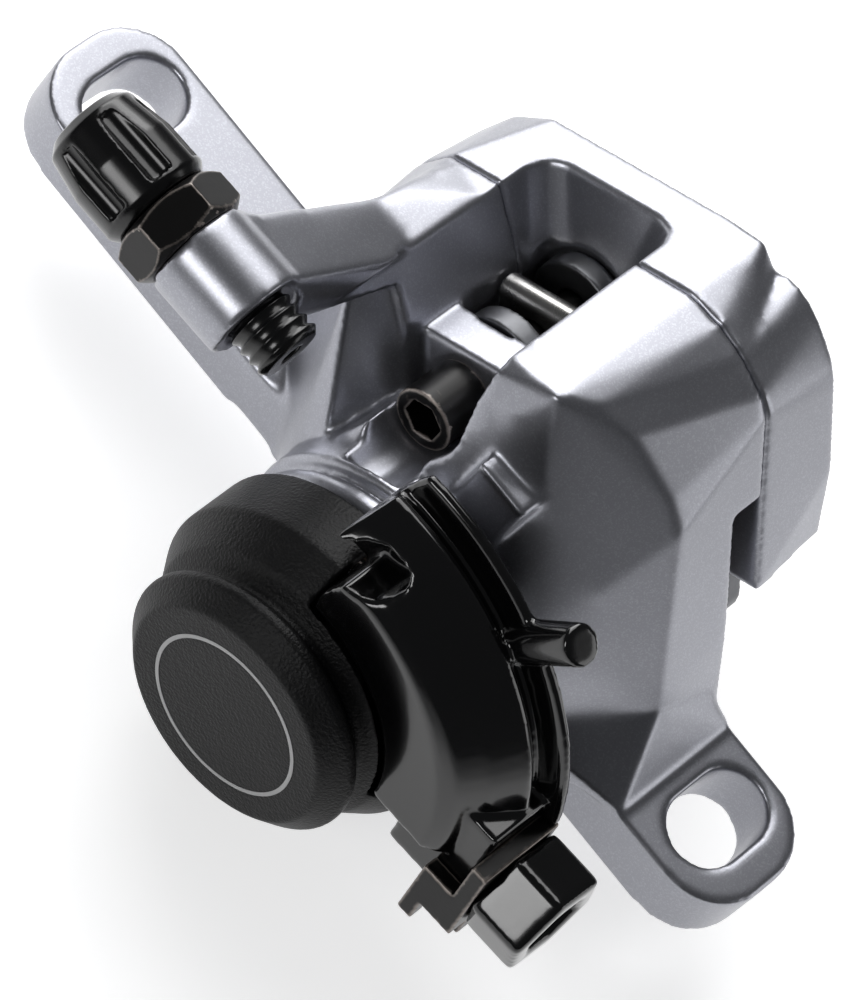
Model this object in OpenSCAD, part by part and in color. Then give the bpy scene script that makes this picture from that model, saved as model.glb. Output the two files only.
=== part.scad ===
// Mechanical disc brake caliper for a bicycle, cable pulled, two post mounts.
// Frame: origin midway between the two bolt slots, on the back mounting face.
// +X runs along the mounting bar, +Y goes inboard along the wheel axle,
// +Z comes out of the mounting face. The piston axis lies along Y.

/* [Mounting bar] */
// Distance between the two slot centres
bolt_spacing = 74; // [72:0.5:77]
// Thickness of the bar under the bolt heads
bar_thickness = 6.4; // [5.6:0.1:7.2]
// Width of the bar
bar_width = 13.7; // [13:0.1:15]
// Slot width, for an M6 bolt
slot_width = 6.6; // [6.2:0.1:7]
// Slot length end to end
slot_length = 9.8; // [8.4:0.1:10.2]
// From a slot centre to the end of the bar
bar_overhang = 6.7; // [6:0.1:8]
// Radius of the bar's corners
bar_corner_r = 5.8; // [4:0.1:6]

/* [Rotor] */
// Middle plane of the rotor, from the slot centres
rotor_y = 8.1; // [7.8:0.1:8.4]
// Width of the slot that the rotor turns in
rotor_gap = 3.2; // [2.8:0.1:3.6]
// Roof of the rotor slot, above the piston axis
rotor_roof = 8.8; // [8.6:0.1:9.6]

/* [Piston axis] */
// Piston axis along the bar, from the middle
axis_x = 6.7; // [6:0.1:7.4]
// Piston axis height above the mounting face
axis_z = 6.9; // [6.5:0.1:7.4]
// Lean of the housing in the rotor's plane, degrees
tilt = 31.5; // [29:0.5:34]

/* [Housing] */
// Half width of the housing
side_t = 20.6; // [20:0.1:22]
// Top of the housing above the piston axis
top_n = 25.2; // [24.8:0.1:26]
// Depth of the inboard half
inboard_depth = 9; // [8.4:0.1:9.6]
// Outer radius of the mechanism boss
boss_r = 13.5; // [13.2:0.1:13.8]
// Front of the mechanism boss, outboard of the slot centres
boss_front = 15.9; // [15.6:0.1:16.1]
// Half width of the pad window at the top
window_t = 7; // [6.4:0.1:7.6]
// Width and depth of the groove round the boss
boss_groove = 0.8; // [0.4:0.1:1.2]

/* [Pads] */
// Thickness of a pad's backing plate
plate_thickness = 2; // [1.8:0.1:2.1]
// Thickness of a new lining
lining_thickness = 2.2; // [1.8:0.1:2.3]
// Gap between a lining and the rotor slot's middle plane
lining_stand_off = 1.3; // [1.1:0.1:1.6]
// Half width of a pad
pad_half_width = 16; // [15.6:0.1:16.2]
// Clearance round a pad in its pocket
pad_clearance = 0.3; // [0.2:0.05:0.5]
// Pad axle radius
axle_r = 1.6; // [1.4:0.05:1.8]
// Pad axle head radius
axle_head_r = 2.8; // [2.6:0.1:3]

/* [Mechanism] */
// Piston radius
piston_r = 10; // [9.6:0.1:10.2]
// Drive shaft radius
shaft_r = 4.9; // [4.6:0.1:5]
// Radial running clearance of a shaft or piston
run_fit = 0.06; // [0.03:0.01:0.09]
// Ball radius
ball_r = 1.4; // [1.2:0.05:1.5]
// Number of balls
ball_count = 3; // [3:1:4]
// Turns of the return spring
spring_turns = 2; // [1:0.5:2]
// Wire radius of the return spring
spring_wire_r = 0.4; // [0.3:0.05:0.4]

/* [Arm and cap] */
// Radius of the cable's path on the arm
cable_path_r = 21.7; // [21.4:0.1:22]
// Plane of the cable, outboard of the slot centres
cable_y = 17.5; // [17.3:0.1:17.7]
// Front face of the arm, outboard of the slot centres
arm_front = 24.8; // [24.6:0.1:25]
// Radius of the cap's front face
cap_face_r = 9.8; // [9.4:0.1:10.2]
// Radius of the cap's front rim
cap_rim_r = 11.6; // [11.3:0.1:12]
// Radius of the cap's rear skirt
cap_skirt_r = 14; // [13.8:0.1:14.2]
// Radius of the printed ring
ring_r = 7.35; // [6.8:0.05:8]
// Width of the printed ring
ring_w = 0.35; // [0.2:0.05:0.6]

/* [Cable adjuster] */
// Rise of the cable above the bar, degrees
cable_rise = 4; // [2:0.5:6]
// Radius of the cable boss
stop_r = 4.45; // [4.2:0.05:4.8]
// Length of the cable boss
stop_length = 7.3; // [6.8:0.1:8]
// Thread radius of the barrel adjuster
barrel_r = 2.9; // [2.7:0.05:3]
// Radius of the barrel adjuster's finned head
barrel_head_r = 4.7; // [4.3:0.1:5]
// Length of the barrel adjuster's head
barrel_head_length = 9.1; // [8.4:0.1:10.2]
// Radius of the socket for the cable housing
housing_socket_r = 2.55; // [2.45:0.05:2.65]
// Depth of the socket for the cable housing
housing_socket_depth = 8; // [6:0.5:8.5]
// Lock nut size across flats
nut_flats = 9; // [8.5:0.1:9.4]
// Lock nut thickness
nut_thickness = 3.8; // [3.4:0.1:4.2]

/* [Clamp] */
// Clamp bolt head across flats
clamp_flats = 9; // [8.4:0.1:9.4]
// Clamp bolt head height
clamp_head = 5.4; // [4.6:0.1:6]
// Hex socket across flats
socket_flats = 5; // [4.6:0.1:5.2]

/* [Hidden] */
$fn = 64;
cut = 0.5;
bar_shift = -0.35;
ball_circle_r = (piston_r + shaft_r) / 2;
rotor_out = rotor_y - rotor_gap / 2;
rotor_in = rotor_y + rotor_gap / 2;
outer_plate_y = rotor_y - lining_stand_off - lining_thickness - plate_thickness;
inner_plate_y = rotor_y + lining_stand_off + lining_thickness + plate_thickness;
// How far the piston pushes the outer pad, and the screw the inner one
push = 0.84;
feed = 1;
outer_pocket_y = outer_plate_y - pad_clearance;
inner_pocket_y = inner_plate_y + pad_clearance;
inboard_y = rotor_in + inboard_depth;
bar_front = bar_shift - bar_width / 2;
// How much the side face leans in toward the bar
draft = 0.9;

// A profile is drawn with t along the rotor's edge and n away from the rotor's centre
module on_axis() translate([axis_x, 0, axis_z]) children();
module tilted() on_axis() rotate([0, -tilt, 0]) children();
module slab(y0, y1) translate([0, y1, 0]) rotate([90, 0, 0]) linear_extrude(y1 - y0) children();
module disc(r, y0, y1) slab(y0, y1) circle(r);
module tube(r_out, r_in, y0, y1) slab(y0, y1) difference() { circle(r_out); circle(r_in); }
module turned(points) rotate([-90, 0, 0]) rotate_extrude($fn = 96) polygon(points);
module dots(points) for (p = points) translate(p) cube(0.1, center = true);

// Outboard edge of the housing's shoulder, as [t, y, n]
shoulder_edge = [
  [12.7, -6, top_n - 0.4], [14.8, -3.5, top_n - 1.6], [17.1, -2, top_n - 4.5], [18.5, -1, top_n - 7.7],
  [side_t - 0.8, -0.5, top_n - 10.6], [side_t, -0.3, top_n - 13.8], [side_t - draft / 2, -1.5, -7]
];
far_edge = [
  [-12.2, -2.1, top_n], [-16, -1.6, top_n - 5], [-19, -0.8, top_n - 10.5], [0.4 - side_t, -0.3, 9],
  [0.4 - side_t, -0.3, -1.5]
];
// Outline of both halves at the seam, near side and far side, down to the lower edge
low_n = -1.6;
seam_near = [
  [12.7, top_n], [15.8, top_n - 1.4], [18.1, top_n - 3.3], [20.2, top_n - 6.1],
  [side_t + 0.2, top_n - 7.7], [side_t, low_n]
];
seam_far = [
  [-side_t, low_n], [-side_t, top_n - 15], [-20, top_n - 11], [-18.2, top_n - 6.6],
  [-15.4, top_n - 2.6], [-12.2, top_n]
];
// Outline of the inboard half's outer face, which is a little smaller
face_near = [[9.3, top_n], [12.6, top_n - 0.4], [13.6, top_n - 2.2], [13.4, low_n]];
// Lug round the near bolt, at the seam and at the outer face
lug_seam = [
  [8, low_n], [8, 17], [18.1, top_n - 3.3], [20.2, top_n - 6.1], [side_t + 0.2, top_n - 7.7], [side_t, low_n]
];
lug_face = [
  [8, low_n], [8, 16], [10.6, 20.8], [12.2, 22], [13.7, 22.6], [15, 22.8], [16.3, 22.4], [17.5, 21.4], [18.5, 20],
  [19.4, 18.3], [20.1, 16.6], [side_t - 0.2, 14.6], [side_t, 6], [side_t - 0.9, low_n]
];
face_far = [
  [1 - side_t, low_n], [-19, top_n - 10], [-16.8, top_n - 5.4], [-13.2, top_n - 1.9], [-9.2, top_n]
];

// Mounting bar
module bar_outline() {
  end_x = bolt_spacing / 2 + bar_overhang;
  half_y = bar_width / 2;
  translate([0, bar_shift]) {
    square([2 * (end_x - bar_corner_r), bar_width], center = true);
    square([2 * end_x, bar_width - 2 * bar_corner_r], center = true);
    for (sx = [-1, 1], sy = [-1, 1])
      translate([sx * (end_x - bar_corner_r), sy * (half_y - bar_corner_r)]) circle(bar_corner_r);
  }
}
module slot_outline() {
  run = slot_length - slot_width;
  square([slot_width, run], center = true);
  for (sy = [-1, 1]) translate([0, sy * run / 2]) circle(slot_width / 2);
}
module bolt_slots() {
  for (sx = [-1, 1])
    translate([sx * bolt_spacing / 2, 0, -cut]) linear_extrude(bar_thickness + 2 * cut) slot_outline();
}

// Cable stop: its axis passes over the arm's edge
boss_end = 19.9;
module along_cable(s) {
  on_axis() rotate([0, -cable_rise, 0]) translate([s, -cable_y, cable_path_r]) rotate([0, 90, 0])
    children();
}
module stop_boss(r, inset = 0) {
  along_cable(inset - boss_end - stop_length) cylinder(h = stop_length - 2 * inset, r = r);
}
wall_top = [[-12.2, top_n], [-window_t, top_n], [-5.2, 17], [-11.4, 17]];
reach_root = [
  [-12.4, top_n - 0.3], [0.9 - window_t, top_n - 0.2], [0.9 - window_t, top_n - 2], [-12.4, top_n - 4]
];
module cable_stop() {
  stop_boss(stop_r);
  // Thick root over the rotor, then the reach out to the boss
  tilted() hull() {
    slab(-2.1, rotor_in - 2) polygon(wall_top);
    dots([[-11.7, 0, top_n + 2.4], [-window_t, -2.1, top_n], [-11.1, rotor_in - 0.5, top_n]]);
  }
  hull() {
    stop_boss(stop_r - 0.5, 0.5);
    tilted() {
      slab(-2.6, -1.2) polygon(reach_root);
      dots([[-11.8, 0.4, top_n + 2.2], [-12, -8, top_n + 6], [0.6 - window_t, -9, top_n + 2.3]]);
    }
  }
}

// Pad window, spring bay and screw recess
block_n = 18.7;
block_front = 1.7;
floor_t = 4.9;
module window_cut(y_end) {
  tilted() {
    slab(-20, y_end) polygon([
      [-window_t - 0.2, top_n + cut], [window_t + 0.2, top_n + cut], [floor_t, block_n], [-floor_t, block_n]
    ]);
    slab(outer_plate_y, y_end) polygon([
      [-floor_t, block_n + cut], [floor_t, block_n + cut], [floor_t, 0], [-floor_t, 0]
    ]);
  }
}
axle_t = -0.8;
axle_n = 14.5;
module screw_recess() {
  tilted() hull() {
    translate([axle_t + 0.3, 0, axle_n]) disc(axle_head_r + 1.4, -block_front, -block_front + 0.1);
    translate([axle_t + 0.3, 0, axle_n + 4]) disc(axle_head_r + 1.6, -12.1, -12);
    slab(-block_front, -block_front + 0.1)
      polygon([[-floor_t, 16], [floor_t, 16], [floor_t + 0.2, 20], [-floor_t - 0.2, 20]]);
    slab(-12.1, -12) polygon([[-5.2, 18], [5.2, 18], [6.4, 25], [-6.4, 25]]);
  }
}
axle_seat = 0.3 - block_front;
axle_head = 4.9;
module on_pad_axle() tilted() translate([axle_t, 0, axle_n]) children();

// Outline of a pad: a wide plate with a round tab that hangs on the axle
tab_r = 4.3;
pad_top = 7.4;
pad_bottom = -9.6;
pad_corner_r = 2.5;
module pad_outline(grow) {
  w = pad_half_width + grow;
  translate([-w, pad_bottom + pad_corner_r - grow]) square([2 * w, pad_top - pad_bottom - pad_corner_r + 2 * grow]);
  translate([pad_corner_r - w - grow, pad_bottom - grow])
    square([2 * (w - pad_corner_r + grow), pad_corner_r + 2 * grow]);
  for (s = [-1, 1])
    translate([s * (w - pad_corner_r), pad_bottom + pad_corner_r - grow]) circle(pad_corner_r);
  translate([axle_t - tab_r - grow, 0]) square([2 * (tab_r + grow), axle_n]);
  translate([axle_t, axle_n]) circle(tab_r + grow);
}
module lining_outline() {
  w = pad_half_width - 1;
  difference() {
    translate([-w, pad_bottom + 1]) square([2 * w, pad_top - pad_bottom - 2]);
    for (s = [-1, 1])
      translate([s * (w + 0.4), pad_bottom + 0.6]) rotate(s * 45) square([5, 5], center = true);
  }
}

// Bolts that join the halves
bolt_t = 13.8;
bolt_n = 14.2;
bolt_r = 2.4;
bolt_head_r = 4.1;
bolt_head_h = 4;
module at_body_bolts() for (s = [-1, 1]) tilted() translate([s * bolt_t, 0, bolt_n]) children();

// Stations of the mechanism along the piston axis
arm_back = 16;
arm_hub_back = 20.2;
arm_hub_front = 21.2;
arm_hub_r = 12.5;
arm_bolt_r = 2.5;
bush_end = -10.6;
ramp_face = -8.6;
race_gap = 0.9;
ramp_moving = ramp_face + race_gap;
flange_end = ramp_moving + 2.4;
washer_end = flange_end + 1;
shaft_front = 0.1 - arm_hub_front;
bush_r = shaft_r + 1.3;

// Post on the flank
post_x = 4.5;
post_w = 5.3;
post_front = 10.1;
post_top = 26.9;

module outboard_body() {
  flank_r = boss_r - 0.4;
  color("silver") difference() {
    union() {
      linear_extrude(bar_thickness) bar_outline();
      tilted() {
        // Housing beside and over the rotor
        hull() {
          slab(rotor_in - 0.1, rotor_in) polygon(concat(seam_near, seam_far));
          dots(shoulder_edge);
          dots(far_edge);
          dots([[side_t - draft, 2, -14], [14, 0, -14.5], [side_t - draft, rotor_out - 1.5 * draft, -14]]);
          disc(flank_r, -0.1, rotor_out);
        }
        // Flank that falls from the shoulder to the boss
        hull() {
          dots(shoulder_edge);
          dots([[window_t - 0.6, -6.2, top_n - 0.9], [window_t, -2, top_n]]);
          dots([[5.4, -8.6, 18.5], [4.2, -9.4, 15.6]]);
          disc(flank_r, -10.2, 0);
        }
        // Flank on the far side of the screw recess, with a flat face turned toward the recess
        difference() {
          hull() {
            dots(far_edge);
            dots([[-window_t, -2, top_n], [-8.8, -6.3, top_n - 2.9], [-6.6, -6.7, 14.7]]);
            disc(flank_r, -10.2, 0);
          }
          translate([-4.5, -block_front, 17.4]) rotate([0, -14.4, -31.7]) translate([0, -14, -9]) cube([9, 14, 21]);
        }
      }
      on_axis() turned([
        [0, -boss_front], [boss_r - 1.2, -boss_front], [boss_r - 0.5, -boss_front + 0.7],
        [boss_r - 0.5, -14.1], [boss_r - 0.5 - boss_groove, -13.9], [boss_r - 0.5 - boss_groove, -13.3],
        [boss_r, -13.1], [boss_r, -1], [0, -1]
      ]);
      cable_stop();
      // Post that the arm's stop finger passes
      translate([post_x, -post_front, 16]) cube([post_w, 9, post_top - 16]);
      // Foot where the housing meets the bar
      hull() {
        translate([16, bar_front, bar_thickness - 0.2]) cube([15.8, bar_width, 0.3]);
        tilted() dots([
          [side_t - draft / 2, -1.5, -7], [side_t - draft / 2, rotor_out - 1.5 * draft, -9.6],
          [flank_r - 2.1, -10.1, -6.6], [flank_r - 4.9, -10.1, -9.8]
        ]);
      }
    }
    bolt_slots();
    window_cut(rotor_in + cut);
    screw_recess();
    tilted() {
      // Slot that the rotor turns in
      slab(rotor_out, rotor_in + cut) translate([-40, -70]) square([80, 70 + rotor_roof]);
      slab(outer_pocket_y, rotor_in + cut) pad_outline(pad_clearance);
    }
    on_axis() {
      disc(piston_r + run_fit, bush_end, outer_plate_y + push + pad_clearance);
      disc(bush_r, -boss_front - cut, bush_end + cut);
    }
    on_pad_axle() {
      disc(axle_r + 0.05, -block_front - cut, outer_pocket_y + cut);
      disc(axle_head_r + 0.4, axle_seat - axle_head - 6, axle_seat);
    }
    at_body_bolts() disc(bolt_r + 0.05, 1.4, rotor_in + cut);
    along_cable(-boss_end - stop_length - cut) cylinder(h = stop_length + 2 * cut, r = barrel_r + 0.05);
    // Room for the adjuster's end and the bare cable
    along_cable(-boss_end - 0.6) cylinder(h = boss_end + 4.6 - thread_end, r = barrel_r + 0.4);
  }
}

// Inboard half
inner_boss_r = 11.2;
inner_boss_end = inboard_y + 1.8;
screw_r = 7;
foot_r = 9;
foot_depth = 1.9;
// Plan of the window in the inboard half, with its two far corners cut back
window_back = 15.2;
floor_back = 13.2;
module window_plan(w, back) {
  r = 2.2;
  polygon([
    [-w, rotor_in - cut], [w, rotor_in - cut], [w, back - r], [w - 0.3 * r, back - 0.3 * r], [w - r, back],
    [r - w, back], [0.3 * r - w, back - 0.3 * r], [-w, back - r]
  ]);
}
module inboard_body() {
  color("silver") difference() {
    union() {
      tilted() {
        hull() {
          slab(rotor_in, rotor_in + 0.1) polygon(concat(seam_near, seam_far));
          slab(inboard_y - 0.1, inboard_y) polygon(concat(face_near, face_far));
        }
        hull() {
          slab(rotor_in, rotor_in + 0.1) polygon(lug_seam);
          slab(inboard_y - 0.1, inboard_y) polygon(lug_face);
        }
        disc(inner_boss_r, rotor_in, inner_boss_end);
      }
    }
    tilted() {
      hull() {
        translate([0, 0, top_n + cut]) linear_extrude(0.1) window_plan(window_t + 0.2, window_back);
        translate([0, 0, block_n - 1]) linear_extrude(0.1) window_plan(floor_t, floor_back);
      }
      slab(rotor_in - cut, floor_back) translate([-floor_t, 0]) square([2 * floor_t, block_n]);
      slab(rotor_in - cut, inner_pocket_y) pad_outline(pad_clearance);
    }
    on_pad_axle() disc(axle_r + 0.05, inner_pocket_y - cut, inboard_y + cut);
    on_axis() {
      disc(foot_r + run_fit, inner_plate_y - feed - pad_clearance, inner_pocket_y + foot_depth);
      disc(screw_r + run_fit, inner_pocket_y, inner_boss_end + cut);
    }
    at_body_bolts() {
      disc(bolt_r + 0.05, rotor_in - cut, inboard_y);
      disc(bolt_head_r + 0.3, inboard_y - 2.6, inboard_y + cut);
    }
  }
}

module body_bolts() {
  color("dimgray") at_body_bolts() difference() {
    union() {
      disc(bolt_r, 1.6, inboard_y - 2.6);
      disc(bolt_head_r, inboard_y - 2.6, inboard_y - 2.6 + bolt_head_h);
    }
    slab(inboard_y - 1, inboard_y + cut + 1) circle(d = 4 / cos(30), $fn = 6);
  }
}

// Pad axle, screwed in from the outboard side, and its clip
clip_y = inboard_y + 0.6;
module pad_axle() {
  color("#33312f") on_pad_axle() difference() {
    union() {
      disc(axle_head_r, axle_seat - axle_head, axle_seat);
      difference() {
        disc(axle_r, axle_seat, clip_y + 1.4);
        tube(axle_r + 1, axle_r - 0.4, clip_y, clip_y + 0.6);
      }
    }
    slab(axle_seat - axle_head - cut, axle_seat - 1.7) circle(d = 3.2 / cos(30), $fn = 6);
  }
}
module axle_clip() {
  color("gray") on_pad_axle() slab(clip_y + 0.05, clip_y + 0.55) difference() {
    circle(3);
    circle(axle_r - 0.35);
    translate([0, -3]) square([1.8, 6], center = true);
  }
}

module outer_pad_plate() {
  color("#3a3a3c") tilted() difference() {
    slab(outer_plate_y, outer_plate_y + plate_thickness) pad_outline(0);
    translate([axle_t, 0, axle_n]) disc(axle_r + 0.15, outer_plate_y - cut, outer_plate_y + plate_thickness + cut);
  }
}
module inner_pad_plate() {
  color("#3a3a3c") tilted() difference() {
    slab(inner_plate_y - plate_thickness, inner_plate_y) pad_outline(0);
    translate([axle_t, 0, axle_n]) disc(axle_r + 0.15, inner_plate_y - plate_thickness - cut, inner_plate_y + cut);
  }
}
module outer_pad_lining() {
  color("#4a4038") tilted()
    slab(outer_plate_y + plate_thickness, rotor_y - lining_stand_off) lining_outline();
}
module inner_pad_lining() {
  color("#4a4038") tilted()
    slab(rotor_y + lining_stand_off, inner_plate_y - plate_thickness) lining_outline();
}

// Spring that spreads the pads: a round crown, a plate down each side with a hole for the axle,
// and two legs below each plate that turn out toward the pads
crown_r = 1.25;
crown_n = 17;
leaf = 0.35;
spring_half = 3.8;
leg_w = 1.8;
fork_n = 12.3;
foot_reach = 2.35;
module pad_spring() {
  leaf_low = rotor_roof + 0.6;
  color("#c9c9c6") tilted() translate([axle_t, rotor_y, 0]) {
    difference() {
      translate([-spring_half, 0, crown_n]) rotate([0, 90, 0]) cylinder(h = 2 * spring_half, r = crown_r);
      translate([-spring_half - cut, 0, crown_n]) rotate([0, 90, 0])
        cylinder(h = 2 * spring_half + 2 * cut, r = crown_r - leaf);
      translate([-spring_half - cut, -2, crown_n - 3]) cube([2 * spring_half + 2 * cut, 4, 3]);
    }
    for (s = [0, 1]) mirror([0, s, 0]) {
      difference() {
        translate([-spring_half, crown_r - leaf, fork_n]) cube([2 * spring_half, leaf, crown_n - fork_n]);
        translate([0, 0, axle_n]) disc(axle_r + 0.1, 0, 2);
      }
      for (t = [-spring_half, spring_half - leg_w]) {
        translate([t, crown_r - leaf, leaf_low]) cube([leg_w, leaf, fork_n - leaf_low]);
        translate([t, crown_r - leaf, leaf_low]) cube([leg_w, foot_reach - crown_r + leaf, leaf]);
      }
    }
  }
}

// Pushing side: piston, washer, shaft with its ramp, balls, cage and fixed ramp
seal_y = 0.2;
module outer_piston() {
  color("gray") on_axis() turned([
    [0, washer_end], [piston_r, washer_end], [piston_r, seal_y - 0.9], [piston_r - 1.1, seal_y - 0.9],
    [piston_r - 1.1, seal_y + 0.9], [piston_r, seal_y + 0.9], [piston_r, outer_plate_y - 0.4],
    [piston_r - 0.4, outer_plate_y], [5.5, outer_plate_y], [5, outer_plate_y - 1.2], [0, outer_plate_y - 1.2]
  ]);
}
module piston_seal() {
  color("#1c1c1c") on_axis() rotate([-90, 0, 0]) translate([0, 0, seal_y])
    rotate_extrude($fn = 96) translate([piston_r - 0.52, 0]) circle(0.56, $fn = 24);
}
module thrust_washer() color("#b08d57") on_axis() tube(piston_r - 0.6, 3, flange_end, washer_end);
module race(y) {
  rotate([-90, 0, 0]) translate([0, 0, y])
    rotate_extrude($fn = 96) translate([ball_circle_r, 0]) circle(ball_r + 0.05, $fn = 32);
}
drive_flats = 7;
module drive_shaft() {
  color("#8f8f92") on_axis() difference() {
    union() {
      disc(shaft_r, -18.9, flange_end);
      slab(shaft_front, -18.9) circle(d = drive_flats / cos(30), $fn = 6);
      disc(piston_r - 0.3, ramp_moving, flange_end);
    }
    race(ramp_face + race_gap / 2);
    disc(arm_bolt_r + 0.05, shaft_front - cut, -10);
  }
}
module ramp_balls() {
  color("#d8d8da") on_axis() for (i = [0:ball_count - 1]) rotate([0, i * 360 / ball_count, 0])
    translate([ball_circle_r, ramp_face + race_gap / 2, 0]) sphere(ball_r, $fn = 32);
}
module ball_cage() {
  mid = ramp_face + race_gap / 2;
  color("#8a6a3c") on_axis() difference() {
    tube(piston_r - 0.5, shaft_r + 0.4, mid - 0.2, mid + 0.2);
    for (i = [0:ball_count - 1]) rotate([0, i * 360 / ball_count, 0])
      translate([ball_circle_r, 0, 0]) disc(ball_r + 0.1, mid - 1, mid + 1);
  }
}
module fixed_ramp() {
  color("#77777a") on_axis() difference() {
    tube(piston_r, shaft_r + 0.4, bush_end, ramp_face);
    race(ramp_face + race_gap / 2);
  }
}
module shaft_bush() color("#b08d57") on_axis() tube(bush_r, shaft_r + run_fit, -boss_front, bush_end);

// Return spring: a coil between the boss and the arm's hub
spring_r = 11.2;
spring_pitch = 2 * spring_wire_r + 0.45;
spring_start = -boss_front - spring_wire_r - 0.05;
coil_sides = 6;
coil_steps = 24;
function coil_point(k) = let (a = 360 * k / coil_steps) [
  spring_r * sin(a), spring_start - spring_pitch * k / coil_steps, spring_r * cos(a)
];
function coil_ring(k) = let (a = 360 * k / coil_steps, c = coil_point(k)) [
  for (j = [0:coil_sides - 1]) let (b = 360 * j / coil_sides)
    c + spring_wire_r * [cos(b) * sin(a), sin(b), cos(b) * cos(a)]
];
module return_spring() {
  last = spring_turns * coil_steps;
  points = [for (k = [0:last]) each coil_ring(k)];
  sides = [
    for (k = [0:last - 1], j = [0:coil_sides - 1]) let (m = (j + 1) % coil_sides) each [
      [k * coil_sides + j, k * coil_sides + m, (k + 1) * coil_sides + j],
      [k * coil_sides + m, (k + 1) * coil_sides + m, (k + 1) * coil_sides + j]
    ]
  ];
  start_cap = [for (j = [1:coil_sides - 2]) [0, j + 1, j]];
  end_cap = [for (j = [1:coil_sides - 2]) [last * coil_sides, last * coil_sides + j, last * coil_sides + j + 1]];
  color("#555555") on_axis() {
    polyhedron(points, concat(sides, start_cap, end_cap));
  }
}

// Arm: a cupped sector with the cable's groove round its edge and a block for the clamp
crest_r = cable_path_r + 0.4;
flange_r = cable_path_r + 1.9;
ridge_r = 18.7;
arm_low = 5.5;
arm_high = 106;
function polar(r, a) = [r * cos(a), r * sin(a)];
module wedge(a0, a1, y0, y1) {
  slab(y0, y1) polygon([[0, 0], for (i = [0:5]) polar(50, a0 + i * (a1 - a0) / 5)]);
}
// Plan of the arm, with its upper end rounded off
module arm_plan() {
  slab(-30, -5) polygon([
    [0, 0], for (i = [0:4]) polar(50, arm_low + i * (arm_high - 12 - arm_low) / 4),
    polar(24, arm_high - 8), polar(22.2, arm_high - 5.8), polar(21.3, arm_high - 5), polar(20.3, arm_high - 3.8),
    polar(19.4, arm_high - 2.4), polar(18.6, arm_high - 2.6), polar(14, arm_high)
  ]);
}
finger_a = 61;
finger_r = 1.75;
finger_reach = 28.4;
hook_floor = 19.9;
// Where the cap's skirt takes over from the arm
notch_a = 99.2;
module lever_arm() {
  color("#161616") on_axis() difference() {
    union() {
      intersection() {
        turned([
          [cap_rim_r + 0.2, -arm_front], [ridge_r - 1.1, -arm_front], [ridge_r, -arm_front + 0.7],
          [ridge_r + 1.7, -21.9], [crest_r, -cable_y - 1.6], [crest_r - 0.2, -cable_y - 1],
          [cable_path_r - 0.8, -cable_y - 0.4], [cable_path_r - 0.8, -cable_y + 0.3],
          [cable_path_r + 0.2, -cable_y + 0.5], [flange_r - 0.2, -cable_y + 0.6], [flange_r, -cable_y + 0.9],
          [flange_r, -arm_back], [15.6, -arm_back], [15.2, -arm_back - 1], [14.4, -arm_hub_back],
          [cap_rim_r + 0.2, -arm_hub_back]
        ]);
        arm_plan();
      }
      disc(arm_hub_r, -arm_hub_front, -arm_hub_back);
      // Block that the clamp bolt screws into
      at_clamp() translate([-clamp_block, clamp_front + 1.6, clamp_low + 0.9])
        cube([clamp_block, clamp_y - arm_back - clamp_front - 1.6, clamp_top - clamp_low + 1.5]);
      // Finger on the edge
      rotate([0, -finger_a, 0]) translate([cable_path_r - 0.7, -arm_back - 0.5, 0]) rotate([0, 90, 0])
        cylinder(h = finger_reach - cable_path_r + 0.7, r = finger_r);
    }
    slab(-30, -10) circle(d = (drive_flats + 0.1) / cos(30), $fn = 6);
    at_clamp() {
      translate([0, -12, clamp_low - 2]) cube([10, 20, clamp_top - clamp_low + 2.2]);
      translate([-clamp_flange - 0.2, -12, clamp_low - 2]) cube([10, 12 + clamp_front + clamp_sheet, clamp_flange_top - clamp_low + 2.2]);
      translate([-8, 0, 0]) rotate([0, 90, 0]) cylinder(h = 12, r = clamp_r + 0.05);
    }
    slab(-30, -arm_hub_front - 0.1)
      polygon([polar(11, notch_a), polar(cap_skirt_r + 0.3, notch_a - 1), polar(cap_skirt_r + 0.3, 112), polar(11, 112)]);
    slab(-arm_hub_front - 0.2, -arm_back + 1) polygon([
      polar(arm_hub_r + 0.2, notch_a), polar(cap_skirt_r + 0.3, notch_a), polar(cap_skirt_r + 0.3, 112),
      polar(arm_hub_r + 0.2, 112)
    ]);
    // Hook pocket at the arm's upper end
    slab(-30, -hook_floor) polygon([
      polar(14.2, 112), polar(14.2, 97.9), polar(15.3, 96.6), polar(16.8, 94.4), polar(17.3, 90.1), polar(18.2, 86.2),
      polar(19.1, 84.6), polar(19.8, 84.3), polar(20.3, 85.6), polar(20.5, 88.6), polar(20.5, 92.4),
      polar(20.2, 95.3), polar(19.7, 98.4), polar(19.1, 101.4), polar(19, 112)
    ]);
  }
}
module arm_washer() color("gray") on_axis() tube(5.4, arm_bolt_r + 0.3, -arm_hub_front - 1, -arm_hub_front);
module arm_bolt() {
  head_y = -arm_hub_front - 1;
  color("dimgray") on_axis() difference() {
    union() {
      disc(arm_bolt_r, head_y, -10.6);
      disc(4.6, head_y - 3.4, head_y);
    }
    slab(head_y - 3.4 - cut, head_y - 0.8) circle(d = 4 / cos(30), $fn = 6);
  }
}

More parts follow.
